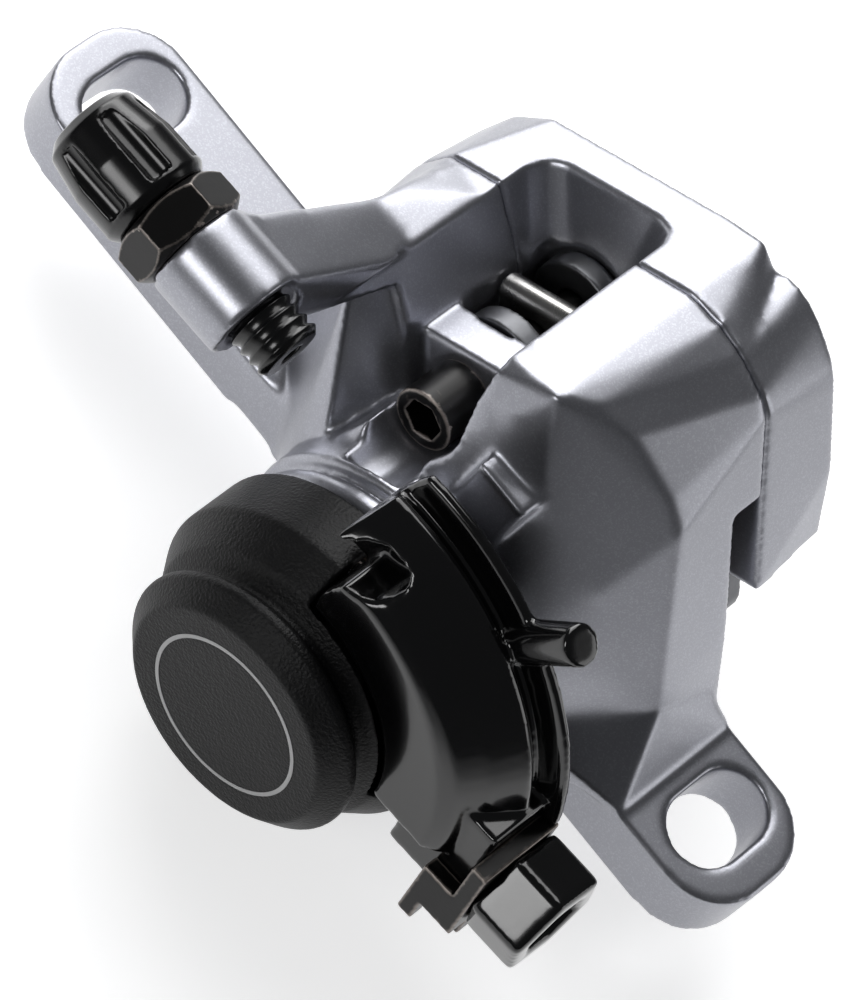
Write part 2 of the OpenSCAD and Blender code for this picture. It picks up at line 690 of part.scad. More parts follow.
// Cap: face, groove and skirt in one moulding, with a notch for the arm
cap_front = 30;
cap_back = 16.5;
module arm_cap() {
  color("#202022") on_axis() difference() {
    turned([
      [0, -cap_front], [cap_face_r, -cap_front], [cap_rim_r, -28.2], [cap_rim_r, -27.4], [10.3, -26.5],
      [10.4, -25.8], [cap_rim_r + 0.45, -arm_front], [cap_skirt_r, -21.9], [cap_skirt_r, -cap_back],
      [cap_skirt_r - 1.2, -cap_back], [cap_skirt_r - 1.2, -21.5], [6.2, -21.5], [6.2, -27.4], [0, -27.4]
    ]);
    tube(ring_r, ring_r - ring_w, -cap_front - cut, -cap_front + 0.25);
    wedge(arm_low - 1, notch_a + 1, -arm_front - 0.1, -10);
  }
}
module cap_ring() color("#b9b9b9") on_axis() tube(ring_r, ring_r - ring_w, -cap_front - 0.02, -cap_front + 0.25);

// Barrel adjuster and its lock nut
thread_end = 16;
fins = 6;
fin_gap_r = 1.15;
module barrel_adjuster() {
  head_start = -boss_end - stop_length - nut_thickness - 0.1 - barrel_head_length;
  bore_r = 0.9;
  color("#141414") along_cable(head_start) difference() {
    union() {
      rotate_extrude() polygon([
        [0, 0], [3.1, 0], [4, 0.8], [barrel_head_r, 4.5], [barrel_head_r, barrel_head_length - 0.8],
        [barrel_head_r - 0.6, barrel_head_length], [0, barrel_head_length]
      ]);
      cylinder(h = -thread_end - head_start, r = barrel_r);
    }
    for (i = [0:fins - 1]) rotate(i * 360 / fins + 12)
      translate([barrel_head_r + 0.22, 0, 1.4]) cylinder(h = barrel_head_length - 2.6, r = fin_gap_r);
    translate([0, 0, -cut]) cylinder(h = housing_socket_depth + cut, r = housing_socket_r);
    translate([0, 0, 1]) cylinder(h = 60, r = bore_r);
  }
}
module lock_nut() {
  nut_corner = 0.8;
  color("#1a1a1a") along_cable(-boss_end - stop_length - nut_thickness) difference() {
    intersection() {
      cylinder(h = nut_thickness, d = nut_flats / cos(30), $fn = 6);
      rotate_extrude() polygon([
        [0, 0], [nut_flats / 2 - 0.3, 0], [nut_flats / 2 + nut_corner, nut_corner],
        [nut_flats / 2 + nut_corner, nut_thickness - nut_corner], [nut_flats / 2 - 0.3, nut_thickness],
        [0, nut_thickness]
      ]);
    }
    translate([0, 0, -cut]) cylinder(h = nut_thickness + 2 * cut, r = barrel_r + 0.05);
  }
}

// Cable clamp on the arm's lower end: an angled plate under a socket-headed bolt. Its own frame has
// X out along the bolt, and leans with the arm
clamp_lean = 7;
clamp_r = 2.4;
clamp_x = cable_path_r + 0.2;
clamp_y = cable_y + 2.3;
clamp_z = 0.9;
clamp_top = 4.7;
clamp_low = -4.6;
clamp_front = -4.9;
clamp_sheet = 1.6;
clamp_block = 7.5;
clamp_flange = 3.2;
clamp_flange_top = -0.2;
clamp_depth = 6;
module at_clamp() translate([clamp_x, -clamp_y, clamp_z]) rotate([0, -clamp_lean, 0]) children();
module clamp_plate() {
  hook = 2.6;
  hook_w = 1.5;
  color("#2b2b2d") on_axis() at_clamp() difference() {
    union() {
      translate([0, clamp_front, clamp_low]) cube([clamp_sheet, clamp_y - arm_back - clamp_front, clamp_top - clamp_low]);
      translate([-clamp_flange, clamp_front, clamp_low]) cube([clamp_flange + cut, clamp_sheet - 0.1, clamp_flange_top - clamp_low]);
      // Two short hooks for the cable's tail, one below the flange and one below the plate
      translate([-clamp_flange, clamp_front, clamp_low - hook]) cube([hook_w, clamp_sheet - 0.1, hook + cut]);
      translate([0, clamp_front + 2.2, clamp_low - hook]) cube([clamp_sheet, hook_w, hook + cut]);
    }
    translate([-cut, 0, 0]) rotate([0, 90, 0]) cylinder(h = clamp_sheet + 2 * cut, r = clamp_r + 0.1);
  }
}
module clamp_bolt() {
  color("#121212") on_axis() at_clamp() rotate([0, 90, 0]) difference() {
    union() {
      translate([0, 0, -clamp_depth]) cylinder(h = clamp_depth + clamp_sheet + cut, r = clamp_r);
      translate([0, 0, clamp_sheet]) rotate(17) cylinder(h = clamp_head, d = clamp_flats / cos(30), $fn = 6);
    }
    translate([0, 0, clamp_sheet + clamp_head - 3]) rotate(17) cylinder(h = 4, d = socket_flats / cos(30), $fn = 6);
  }
}

// Inboard adjuster
dial_y = inner_boss_end + 1.4;
dial_r = 13;
module adjuster_screw() {
  color("gray") on_axis() difference() {
    union() {
      disc(foot_r, inner_plate_y, inner_plate_y + foot_depth);
      disc(screw_r, inner_plate_y + foot_depth, inner_boss_end - 1.6);
      disc(screw_r - 0.9, inner_boss_end - 1.6, inner_boss_end - 0.2);
      disc(screw_r, inner_boss_end - 0.2, dial_y);
      slab(dial_y, dial_y + 3.8) circle(d = 8 / cos(30), $fn = 6);
    }
    slab(dial_y, dial_y + 5) circle(d = 5 / cos(30), $fn = 6);
  }
}
module adjuster_seal() {
  color("#1c1c1c") on_axis() rotate([-90, 0, 0]) translate([0, 0, inner_boss_end - 0.9])
    rotate_extrude($fn = 96) translate([screw_r - 0.42, 0]) circle(0.46, $fn = 24);
}
module adjuster_dial() {
  color("#1d1d1f") on_axis() difference() {
    disc(dial_r, dial_y, dial_y + 2.6);
    slab(dial_y - cut, dial_y + 3) circle(d = 8.1 / cos(30), $fn = 6);
    for (i = [0:11]) rotate([0, i * 30, 0]) translate([dial_r + 1.2, 0, 0]) disc(2.2, dial_y - cut, dial_y + 3);
  }
}
module dial_clip() color("gray") on_axis() tube(5.6, 4.7, dial_y + 2.65, dial_y + 3.25);

outboard_body();
inboard_body();
body_bolts();
pad_axle();
axle_clip();
outer_pad_plate();
outer_pad_lining();
inner_pad_plate();
inner_pad_lining();
pad_spring();
outer_piston();
piston_seal();
thrust_washer();
drive_shaft();
ramp_balls();
ball_cage();
fixed_ramp();
shaft_bush();
return_spring();
lever_arm();
arm_washer();
arm_bolt();
arm_cap();
cap_ring();
barrel_adjuster();
lock_nut();
clamp_bolt();
clamp_plate();
adjuster_screw();
adjuster_dial();
adjuster_seal();
dial_clip();
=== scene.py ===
import math

import bmesh
import bpy
from bpy.props import FloatProperty, FloatVectorProperty, IntProperty, PointerProperty
from mathutils import Matrix, Vector


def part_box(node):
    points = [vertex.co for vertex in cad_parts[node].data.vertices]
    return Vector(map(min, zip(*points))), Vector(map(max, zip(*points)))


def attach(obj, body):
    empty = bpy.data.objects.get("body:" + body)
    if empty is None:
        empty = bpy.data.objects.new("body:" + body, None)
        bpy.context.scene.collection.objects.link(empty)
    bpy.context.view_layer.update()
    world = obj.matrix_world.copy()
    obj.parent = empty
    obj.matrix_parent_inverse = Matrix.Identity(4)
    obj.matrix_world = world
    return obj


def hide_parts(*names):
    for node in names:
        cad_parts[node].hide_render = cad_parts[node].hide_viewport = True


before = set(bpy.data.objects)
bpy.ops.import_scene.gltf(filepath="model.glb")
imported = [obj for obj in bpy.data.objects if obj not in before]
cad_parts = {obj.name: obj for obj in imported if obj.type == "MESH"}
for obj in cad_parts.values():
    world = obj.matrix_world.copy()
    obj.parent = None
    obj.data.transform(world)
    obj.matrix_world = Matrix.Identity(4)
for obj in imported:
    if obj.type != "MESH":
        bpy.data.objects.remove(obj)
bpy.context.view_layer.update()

bl_info = {
    "name": "Disc brake caliper",
    "version": (1, 0, 0),
    "blender": (4, 5, 0),
    "location": "3D View > Sidebar > Caliper",
    "description": "Finishes a cable-pulled disc brake caliper over its CAD solids",
    "category": "Object",
}

MM = 0.001
# Places that repeat part.scad, in the CAD frame: the piston's axis, the housing's tilt round it, and the
# cable's line, which rises a little and runs beside the housing at a radius from that axis
AXIS = Vector((6.7, 0, 6.9)) * MM
TILT = math.radians(31.5)
CABLE_RISE = math.radians(4)
CABLE_Y = -17.5 * MM
CABLE_R = 21.7 * MM
# The flanks stay clear of the mechanism's boss, so far from the axis in mm
BOSS_CLEARANCE = 14
# Smoothing steps of the far flank, of the smaller blends, of the inboard half's lug, and of a whole
# casting after its blends
FAR_STEPS, BLEND_STEPS, LUG_STEPS, LAST_STEPS = 40, 30, 14, 2
# Points nearer than this, in metres, are one
WELD = 1e-6
# Triangles that a softened piece may have, below the 200,000 at which its STL file is thinned
MOST_TRIANGLES = 196000


def linear(code):
    """An sRGB hex colour as linear red, green and blue."""
    parts = [int(code[i:i + 2], 16) / 255 for i in (1, 3, 5)]
    return tuple(p / 12.92 if p <= 0.04045 else ((p + 0.055) / 1.055) ** 2.4 for p in parts)


def colour_prop(name, description, code):
    """A colour in the sidebar, from an sRGB hex value."""
    return FloatVectorProperty(
        name=name, description=description, subtype="COLOR", size=3, min=0, max=1, default=linear(code))


def length_prop(name, description, millimetres):
    """A length in the sidebar, from millimetres."""
    return FloatProperty(
        name=name, description=description, unit="LENGTH", subtype="DISTANCE", precision=5,
        min=0.02 * MM, default=millimetres * MM)


class CALIPER_Sizes(bpy.types.PropertyGroup):
    """Sizes of the finish, on top of the CAD solids."""

    cast_grid: length_prop("Casting grid", "Voxel that the castings' edges are rounded on", 0.3)
    cast_steps: IntProperty(
        name="Casting smoothing", description="Smoothing steps on the castings", default=3, min=0)
    flank_steps: IntProperty(
        name="Flank smoothing", description="Smoothing steps on the housing's blended near flank", default=170,
        min=0)
    arm_grid: length_prop("Arm grid", "Voxel that the arm's edges are rounded on", 0.2)
    arm_steps: IntProperty(name="Arm smoothing", description="Smoothing steps on the arm", default=9, min=0)
    small_grid: length_prop("Fastener grid", "Voxel that small parts' edges are rounded on", 0.12)
    thread_pitch: length_prop("Thread pitch", "Pitch of the barrel adjuster's thread", 1.0)
    floor_drop: length_prop("Floor drop", "Floor below the mounting face", 7.6)


class CALIPER_Colours(bpy.types.PropertyGroup):
    """Colours of the finishes."""

    paint: colour_prop("Housing paint", "Silver of the painted housing", "#a0a1a8")
    paint_flake: colour_prop("Paint flake", "Bright flake in the housing's paint", "#adaeb5")
    arm: colour_prop("Arm paint", "Gloss black of the arm", "#0a0a0b")
    cap: colour_prop("Cap plastic", "Matt black of the arm's cap", "#0c0c0d")
    ring: colour_prop("Printed ring", "Thin ring on the cap's face", "#c8c8c8")
    barrel: colour_prop("Barrel plastic", "Black of the cable adjuster", "#09090a")
    blacked: colour_prop("Blacked steel", "Oxide-blacked nut and screws", "#141313")
    bare: colour_prop("Bare steel", "Steel where black has worn away", "#8f8781")
    steel: colour_prop("Plated steel", "Zinc-plated screw, shaft and washer", "#a9a9a9")
    lining: colour_prop("Pad lining", "Pressed resin lining", "#3b342e")


def node(tree, kind, values=None, links=None, **settings):
    """Adds a node with its settings, its sockets' values and the links into it."""
    made = tree.nodes.new(kind)
    for key, value in settings.items():
        setattr(made, key, value)
    for socket, value in (values or {}).items():
        made.inputs[socket].default_value = value
    for socket, source in (links or {}).items():
        tree.links.new(source, made.inputs[socket])
    return made


def finish(
        name, colour, metallic, roughness, fleck=None, cloud=None, wear=None, grain=None, spread=0.0,
        **sockets):
    """A surface finish, made once.

    fleck is (colour, cell in mm, share), cloud (darker share, size in mm), wear (colour, and the
    pointiness where it starts and where it is full), grain (size in mm, height in mm) and spread the
    change of roughness either way. sockets are more values for the shader, by its sockets' names.
    """
    if name in bpy.data.materials:
        return bpy.data.materials[name]
    made = bpy.data.materials.new(name)
    made.use_nodes = True
    tree = made.node_tree
    shader = tree.nodes["Principled BSDF"]
    shader.inputs["Metallic"].default_value = metallic
    shader.inputs["Roughness"].default_value = roughness
    shader.inputs["Base Color"].default_value = (*colour, 1)
    for socket, value in sockets.items():
        shader.inputs[socket.replace("_", " ")].default_value = value
    place = node(tree, "ShaderNodeTexCoord").outputs["Object"]
    shade = None
    if cloud:
        depth, size = cloud
        noise = node(tree, "ShaderNodeTexNoise", {"Scale": 1 / (size * MM), "Detail": 3.0}, {"Vector": place})
        shade = node(
            tree, "ShaderNodeMix", {0: 0.5, 6: (*colour, 1), 7: (*[c * (1 - depth) for c in colour], 1)},
            {0: noise.outputs["Fac"]}, data_type="RGBA").outputs[2]
    if fleck:
        bright, size, share = fleck
        cells = node(tree, "ShaderNodeTexVoronoi", {"Scale": 1 / (size * MM)}, {"Vector": place})
        split = node(tree, "ShaderNodeSeparateColor", links={"Color": cells.outputs["Color"]})
        chosen = node(
            tree, "ShaderNodeMapRange", {"From Min": 1 - share, "From Max": 1.0},
            {"Value": split.outputs["Red"]})
        mix = node(
            tree, "ShaderNodeMix", {6: (*colour, 1), 7: (*bright, 1)}, {0: chosen.outputs["Result"]},
            data_type="RGBA")
        if shade:
            tree.links.new(shade, mix.inputs[6])
        shade = mix.outputs[2]
    rough = None
    if spread:
        # Handling leaves patches of about 6 mm
        smear = node(tree, "ShaderNodeTexNoise", {"Scale": 1 / (6 * MM), "Detail": 4.0}, {"Vector": place})
        rough = node(
            tree, "ShaderNodeMapRange", {"To Min": roughness - spread, "To Max": roughness + spread},
            {"Value": smear.outputs["Fac"]}).outputs["Result"]
    if wear:
        # Scuffs of about 0.7 mm break the line of the worn edges, by up to twice mean_scuff in pointiness
        bared, low, high = wear
        mean_scuff = 0.015
        edge = node(tree, "ShaderNodeNewGeometry").outputs["Pointiness"]
        scuff = node(tree, "ShaderNodeTexNoise", {"Scale": 1 / (0.7 * MM), "Detail": 5.0}, {"Vector": place})
        lifted = node(
            tree, "ShaderNodeMath", {1: 2 * mean_scuff}, {0: scuff.outputs["Fac"]}, operation="MULTIPLY"
        ).outputs[0]
        pushed = node(tree, "ShaderNodeMath", links={0: edge, 1: lifted}, operation="ADD").outputs[0]
        worn = node(
            tree, "ShaderNodeMapRange", {"From Min": low + mean_scuff, "From Max": high + mean_scuff},
            {"Value": pushed}).outputs["Result"]
        mix = node(
            tree, "ShaderNodeMix", {6: (*colour, 1), 7: (*bared, 1)}, {0: worn}, data_type="RGBA")
        if shade:
            tree.links.new(shade, mix.inputs[6])
        shade = mix.outputs[2]
    if shade:
        tree.links.new(shade, shader.inputs["Base Color"])
    if rough:
        tree.links.new(rough, shader.inputs["Roughness"])
    if grain:
        size, height = grain
        noise = node(tree, "ShaderNodeTexNoise", {"Scale": 1 / (size * MM), "Detail": 2.0}, {"Vector": place})
        bump = node(
            tree, "ShaderNodeBump", {"Strength": 1.0, "Distance": height * MM},
            {"Height": noise.outputs["Fac"]})
        tree.links.new(bump.outputs["Normal"], shader.inputs["Normal"])
    return made


def finishes(colours):
    """Every finish of the caliper by name."""
    bare = tuple(colours.bare)
    return {
        # Silver metallic paint on forged aluminium: satin, with flakes of mica that glint as single points.
        # Flakes are about 0.05 mm and are drawn at 0.11 mm, because the picture can't hold finer ones.
        "paint": finish(
            "Satin silver metallic paint", tuple(colours.paint), 0.88, 0.33,
            fleck=(tuple(colours.paint_flake), 0.11, 0.35), cloud=(0.06, 9), grain=(0.3, 0.003), spread=0.03),
        # Thick black enamel baked on steel: deep gloss, edges drawn soft by the coat, a faint orange peel
        "enamel": finish(
            "Baked black enamel", tuple(colours.arm), 0.0, 0.14, cloud=(0.3, 5), grain=(1.6, 0.006),
            spread=0.03, Coat_Weight=0.35, Coat_Roughness=0.06),
        # Glass-filled nylon moulded in a spark-eroded tool: matt black with a fine even grain
        "nylon": finish(
            "Spark-grained black nylon", tuple(colours.cap), 0.0, 0.47, cloud=(0.25, 7), grain=(0.26, 0.09),
            spread=0.04, Specular_IOR_Level=0.22),
        # Printed ink, a thin flat film over the nylon
        "ink": finish("Pale grey printed ink", tuple(colours.ring), 0.0, 0.55, cloud=(0.12, 0.8)),
        # Acetal moulded in a polished tool: black with a wet gloss on the fins
        "acetal": finish(
            "Polished black acetal", tuple(colours.barrel), 0.0, 0.2, cloud=(0.3, 3), grain=(0.9, 0.003),
            spread=0.04),
        # Black oxide on steel: thin conversion layer, warm black, worn to bare steel along the edges
        "blacked": finish(
            "Black oxide on steel", tuple(colours.blacked), 0.55, 0.33, cloud=(0.35, 1.6),
            wear=(bare, 0.508, 0.537), grain=(0.3, 0.004), spread=0.07),
        # Zinc plate on steel: bright grey, slightly clouded
        "steel": finish(
            "Zinc-plated steel", tuple(colours.steel), 1.0, 0.3, cloud=(0.2, 1.8), grain=(0.25, 0.002),
            spread=0.06),
        # Darker unpolished steel of the pads' plates, blasted before painting
        "plate": finish(
            "Blasted pad steel", linear("#6f7073"), 1.0, 0.42, cloud=(0.3, 1.5), grain=(0.2, 0.006),
            spread=0.06),
        # Hardened stainless spring strip: cold rolled, brighter than the plates
        "spring": finish(
            "Cold-rolled stainless strip", linear("#b7b6b3"), 1.0, 0.27, cloud=(0.15, 1.2), spread=0.05),
        # Resin lining pressed with metal swarf: dark brown with bright specks of about 0.3 mm
        "lining": finish(
            "Pressed resin lining", tuple(colours.lining), 0.0, 0.8,
            fleck=(linear("#9a7a4c"), 0.3, 0.12), cloud=(0.4, 1.2), grain=(0.35, 0.05)),
        # Sintered bronze, oil-filled: dull gold with open pores
        "bronze": finish(
            "Sintered bronze", linear("#b08d57"), 1.0, 0.4, cloud=(0.25, 0.6), grain=(0.15, 0.01)),
        # Nitrile seal rubber: black, slightly oily
        "rubber": finish("Nitrile rubber", linear("#161616"), 0.0, 0.55, cloud=(0.25, 1.5), grain=(0.3, 0.005)),
        # Bearing balls: ground and lapped
        "ball": finish("Lapped bearing steel", linear("#c9c9cc"), 1.0, 0.1, cloud=(0.08, 1.0)),
        # Glass-filled nylon of the pad adjuster's dial, moulded smoother than the cap
        "dial": finish(
            "Smooth black nylon", linear("#161617"), 0.0, 0.42, cloud=(0.25, 4), grain=(0.3, 0.008),
            spread=0.04),
    }


def settle(piece):
    """Applies the piece's modifiers to its mesh."""
    depsgraph = bpy.context.evaluated_depsgraph_get()
    depsgraph.update()
    mesh = bpy.data.meshes.new_from_object(piece.evaluated_get(depsgraph))
    old = piece.data
    piece.modifiers.clear()
    piece.data = mesh
    bpy.data.meshes.remove(old)


def new_piece(name, bm):
    """A linked object at the origin that holds bm, which is freed."""
    mesh = bpy.data.meshes.new(name)
    bm.to_mesh(mesh)
    bm.free()
    piece = bpy.data.objects.new(name, mesh)
    bpy.context.scene.collection.objects.link(piece)
    return piece


def dress(piece, material, body, slot, *sources):
    """Smooth shading, material, body and the CAD nodes that the piece stands for; slot is not used."""
    piece.data.materials.clear()
    piece.data.materials.append(material)
    piece.data.polygons.foreach_set("use_smooth", [True] * len(piece.data.polygons))
    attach(piece, body)
    if sources:
        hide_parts(*sources)
    return piece


def smooth(bm, verts, steps):
    """Moves each of verts halfway to the middle of its neighbours, steps times."""
    for _ in range(steps):
        bmesh.ops.smooth_vert(
            bm, verts=verts, factor=0.5, use_axis_x=True, use_axis_y=True, use_axis_z=True)


def softened(name, source, grid, steps, reshape=None, regions=()):
    """A copy of a CAD node whose edges are rounded, as a casting's, a moulding's or a plated part's are.

    regions are (test of a place, steps) for more smoothing where the test holds. After them a few steps
    on the whole piece take the kinks off their borders.
    """
    bm = bmesh.new()
    bm.from_mesh(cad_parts[source].data)
    bmesh.ops.remove_doubles(bm, verts=bm.verts, dist=WELD)
    if reshape:
        reshape(bm)
    piece = new_piece(name, bm)
    voxels = piece.modifiers.new("Voxels", "REMESH")
    voxels.mode = "VOXEL"
    voxels.voxel_size = grid
    settle(piece)
    bm = bmesh.new()
    bm.from_mesh(piece.data)
    smooth(bm, bm.verts, steps)
    for inside, more in regions:
        smooth(bm, [v for v in bm.verts if inside(v.co)], more)
    if regions:
        smooth(bm, bm.verts, LAST_STEPS)
    bm.to_mesh(piece.data)
    bm.free()
    count = sum(len(p.vertices) - 2 for p in piece.data.polygons)
    if count > MOST_TRIANGLES:
        fewer = piece.modifiers.new("Fewer faces", "DECIMATE")
        fewer.ratio = MOST_TRIANGLES / count
        settle(piece)
    return piece


def soften_rows(rows, looks):
    """Softened, dressed pieces from rows of (name, CAD node, grid, smoothing steps, finish, body, slot)."""
    for name, source, grid, steps, look, body, slot in rows:
        dress(softened(name, source, grid, steps), looks[look], body, slot, source)


def on_housing(place):
    """A place as (t along the rotor's edge, y, n away from the rotor's centre), in mm."""
    d = (place - AXIS) / MM
    return (
        d.x * math.cos(TILT) + d.z * math.sin(TILT), d.y, d.z * math.cos(TILT) - d.x * math.sin(TILT))


def cable_frame():
    """Matrix whose Z runs along the cable, from the barrel's outer end inward."""
    rise = Matrix.Rotation(-CABLE_RISE, 4, "Y")
    aside = Matrix.Translation(Vector((0, CABLE_Y, CABLE_R)))
    return Matrix.Translation(AXIS) @ rise @ aside @ Matrix.Rotation(math.pi / 2, 4, "Y")


CABLE = cable_frame()
TO_CABLE = CABLE.inverted()

# Tests of a place, for the smoothing of cast blends. Their limits are in mm, go round one blend of
# part.scad, and leave out the crisp edges and the machined forms beside it.


def on_near_flank(place):
    """The cast slope between the housing's shoulder and the mechanism's boss, clear of rim and post."""
    t, y, n = on_housing(place)
    x, z = place.x / MM, place.z / MM
    post = 4 < x < 10.3 and 15.5 < z < 27.4 and y < -4
    rim = t > 18.2 - 0.35 * max(0, n - 2) or n > 22
    slope = -13 < y < -1.6 and -17 < n and t > 7.2 and z > 6.8
    return slope and math.hypot(t, n) > BOSS_CLEARANCE and not (post or rim)


def on_foot(place):
    """The blend between the near flank and the mounting bar."""
    t, y, n = on_housing(place)
    return place.z > 6.9 * MM and -17 < n < -3.5 and 11 < t < 19.4 and -11 < y < -2.5


def on_reach(place):
    """The top of the web that carries the cable stop, where it runs into the housing."""
    t, y, n = on_housing(place)
    return -14.5 < t < -8.2 and n > 23.5 and -8 < y < 7 and not on_stop(place)


def on_far_flank(place):
    """The cast slope on the far side of the mechanism's boss."""
    t, y, n = on_housing(place)
    slope = -21 < t < -10.5 and n > 2 and -13 < y < 3
    return slope and math.hypot(t, n) > BOSS_CLEARANCE and not on_stop(place)


def on_lug(place):
    """The round lug on the inboard half."""
    t, y, n = on_housing(place)
    return y > 10.6 and (t > 11 and n > 8) and not (t < 13.6 and n > 23) and y < 18.3


def on_stop(place):
    """The round boss that the cable adjuster screws into."""
    at = TO_CABLE @ place
    return math.hypot(at.x, at.y) < 4.9 * MM and at.z < -19 * MM


class CALIPER_OT_housing(bpy.types.Operator):
    """Both painted halves of the housing"""

    bl_idname = "caliper.housing"
    bl_label = "Housing"

    def execute(self, context):
        sizes, looks = context.scene.caliper_sizes, finishes(context.scene.caliper_colours)
        outer = softened(
            "housing_outer", "outboard_body", sizes.cast_grid, sizes.cast_steps,
            regions=[
                (on_near_flank, sizes.flank_steps), (on_far_flank, FAR_STEPS), (on_reach, BLEND_STEPS),
                (on_foot, BLEND_STEPS)])
        dress(outer, looks["paint"], "housing", "cast", "outboard_body")
        inner = softened(
            "housing_inner", "inboard_body", sizes.cast_grid, sizes.cast_steps, regions=[(on_lug, LUG_STEPS)])
        dress(inner, looks["paint"], "housing", "cast", "inboard_body")
        return {"FINISHED"}


class CALIPER_OT_arm(bpy.types.Operator):
    """The enamelled arm, its clamp plate and clamp bolt"""

    bl_idname = "caliper.arm"
    bl_label = "Arm and clamp"

    def execute(self, context):
        sizes, looks = context.scene.caliper_sizes, finishes(context.scene.caliper_colours)
        soften_rows((
            ("brake_arm", "lever_arm", sizes.arm_grid, sizes.arm_steps, "enamel", "arm_unit", "arm_paint"),
            ("cable_clamp_plate", "clamp_plate", sizes.small_grid, 3, "blacked", "arm_unit", "black_steel"),
            ("cable_clamp_bolt", "clamp_bolt", sizes.small_grid, 60, "enamel", "arm_unit", "black_steel"),
        ), looks)
        return {"FINISHED"}


class CALIPER_OT_cap(bpy.types.Operator):
    """The moulded cap over the arm's hub"""

    bl_idname = "caliper.cap"
    bl_label = "Cap"

    def execute(self, context):
        sizes, looks = context.scene.caliper_sizes, finishes(context.scene.caliper_colours)
        soften_rows((("hub_cap", "arm_cap", sizes.arm_grid, 5, "nylon", "arm_unit", "cap_plastic"),), looks)
        return {"FINISHED"}


class CALIPER_OT_cable_adjuster(bpy.types.Operator):
    """The finned barrel adjuster with its thread, and the lock nut"""

    bl_idname = "caliper.cable_adjuster"
    bl_label = "Cable adjuster"

    def execute(self, context):
        sizes, looks = context.scene.caliper_sizes, finishes(context.scene.caliper_colours)
        # The thread's radii, and the places along the cable where it ends: free end and head
        root, crest, tail, head = 2.45 * MM, 2.88 * MM, -16 * MM, -30.4 * MM
        # Just inside the solid's shank, which is 2.9 mm in radius
        shank = 2.8 * MM
        # How far the thread's rings reach under their root, and the width of their flat crest in pitches
        sunk, flat = 0.4 * MM, 0.12

        def slim(bm):
            # The solid's plain shank shrinks to the thread's root
            for v in bm.verts:
                at = TO_CABLE @ v.co
                across = math.hypot(at.x, at.y)
                if at.z > head and across > shank:
                    v.co = CABLE @ Vector((at.x * root / across, at.y * root / across, at.z))

        barrel = softened("barrel_head", "barrel_adjuster", sizes.small_grid, 4, reshape=slim)
        dress(barrel, looks["acetal"], "barrel", "barrel_plastic", "barrel_adjuster")
        # Thread: rings of the real pitch, with a chamfered end just short of the shank's
        bm = bmesh.new()
        pitch = sizes.thread_pitch
        z = tail - 0.5 * pitch
        places = [(root - sunk, tail - 0.01 * MM), (root, tail - 0.01 * MM)]
        while z > head:
            places += [(crest, z), (crest, z - flat * pitch), (root, z - 0.5 * pitch)]
            z -= pitch
        places.append((root - sunk, places[-1][1]))
        verts = [bm.verts.new((r, 0, h)) for r, h in places]
        edges = [bm.edges.new(pair) for pair in zip(verts, verts[1:])] + [bm.edges.new((verts[-1], verts[0]))]
        bmesh.ops.spin(
            bm, geom=verts + edges, cent=(0, 0, 0), axis=(0, 0, 1), dvec=(0, 0, 0), angle=2 * math.pi,
            steps=64, use_merge=True, use_duplicate=False)
        bmesh.ops.remove_doubles(bm, verts=bm.verts, dist=WELD)
        bmesh.ops.recalc_face_normals(bm, faces=bm.faces)
        bmesh.ops.transform(bm, matrix=CABLE, verts=bm.verts)
        thread = new_piece("barrel_thread", bm)
        dress(thread, looks["acetal"], "barrel", "barrel_plastic")
        soften_rows((("lock_nut_worn", "lock_nut", 0.1 * MM, 3, "blacked", "nut_unit", "black_steel"),), looks)
        return {"FINISHED"}


class CALIPER_OT_fasteners(bpy.types.Operator):
    """Body bolts, the pads' axle and its clip"""

    bl_idname = "caliper.fasteners"
    bl_label = "Fasteners"

    def execute(self, context):
        sizes, looks = context.scene.caliper_sizes, finishes(context.scene.caliper_colours)
        soften_rows((
            ("housing_bolts", "body_bolts", 0.16 * MM, 3, "blacked", "housing", "black_steel"),
            ("pad_axle_screw", "pad_axle", sizes.small_grid, 3, "blacked", "housing", "black_steel"),
            ("pad_axle_clip", "axle_clip", 0.09 * MM, 2, "spring", "housing", "spring_steel"),
        ), looks)
        return {"FINISHED"}


class CALIPER_OT_pads(bpy.types.Operator):
    """Both pads and the spring between them"""

    bl_idname = "caliper.pads"
    bl_label = "Pads"

    def execute(self, context):
        looks = finishes(context.scene.caliper_colours)
        for side in ("outer", "inner"):
            body = f"{side}_pad_unit"
            soften_rows((
                (f"{side}_plate_blanked", f"{side}_pad_plate", 0.2 * MM, 3, "plate", body, "plate_steel"),
                (f"{side}_lining_pressed", f"{side}_pad_lining", 0.25 * MM, 3, "lining", body, "lining"),
            ), looks)
        soften_rows((
            ("pad_spring_strip", "pad_spring", 0.09 * MM, 3, "spring", "housing", "spring_steel"),), looks)
        return {"FINISHED"}


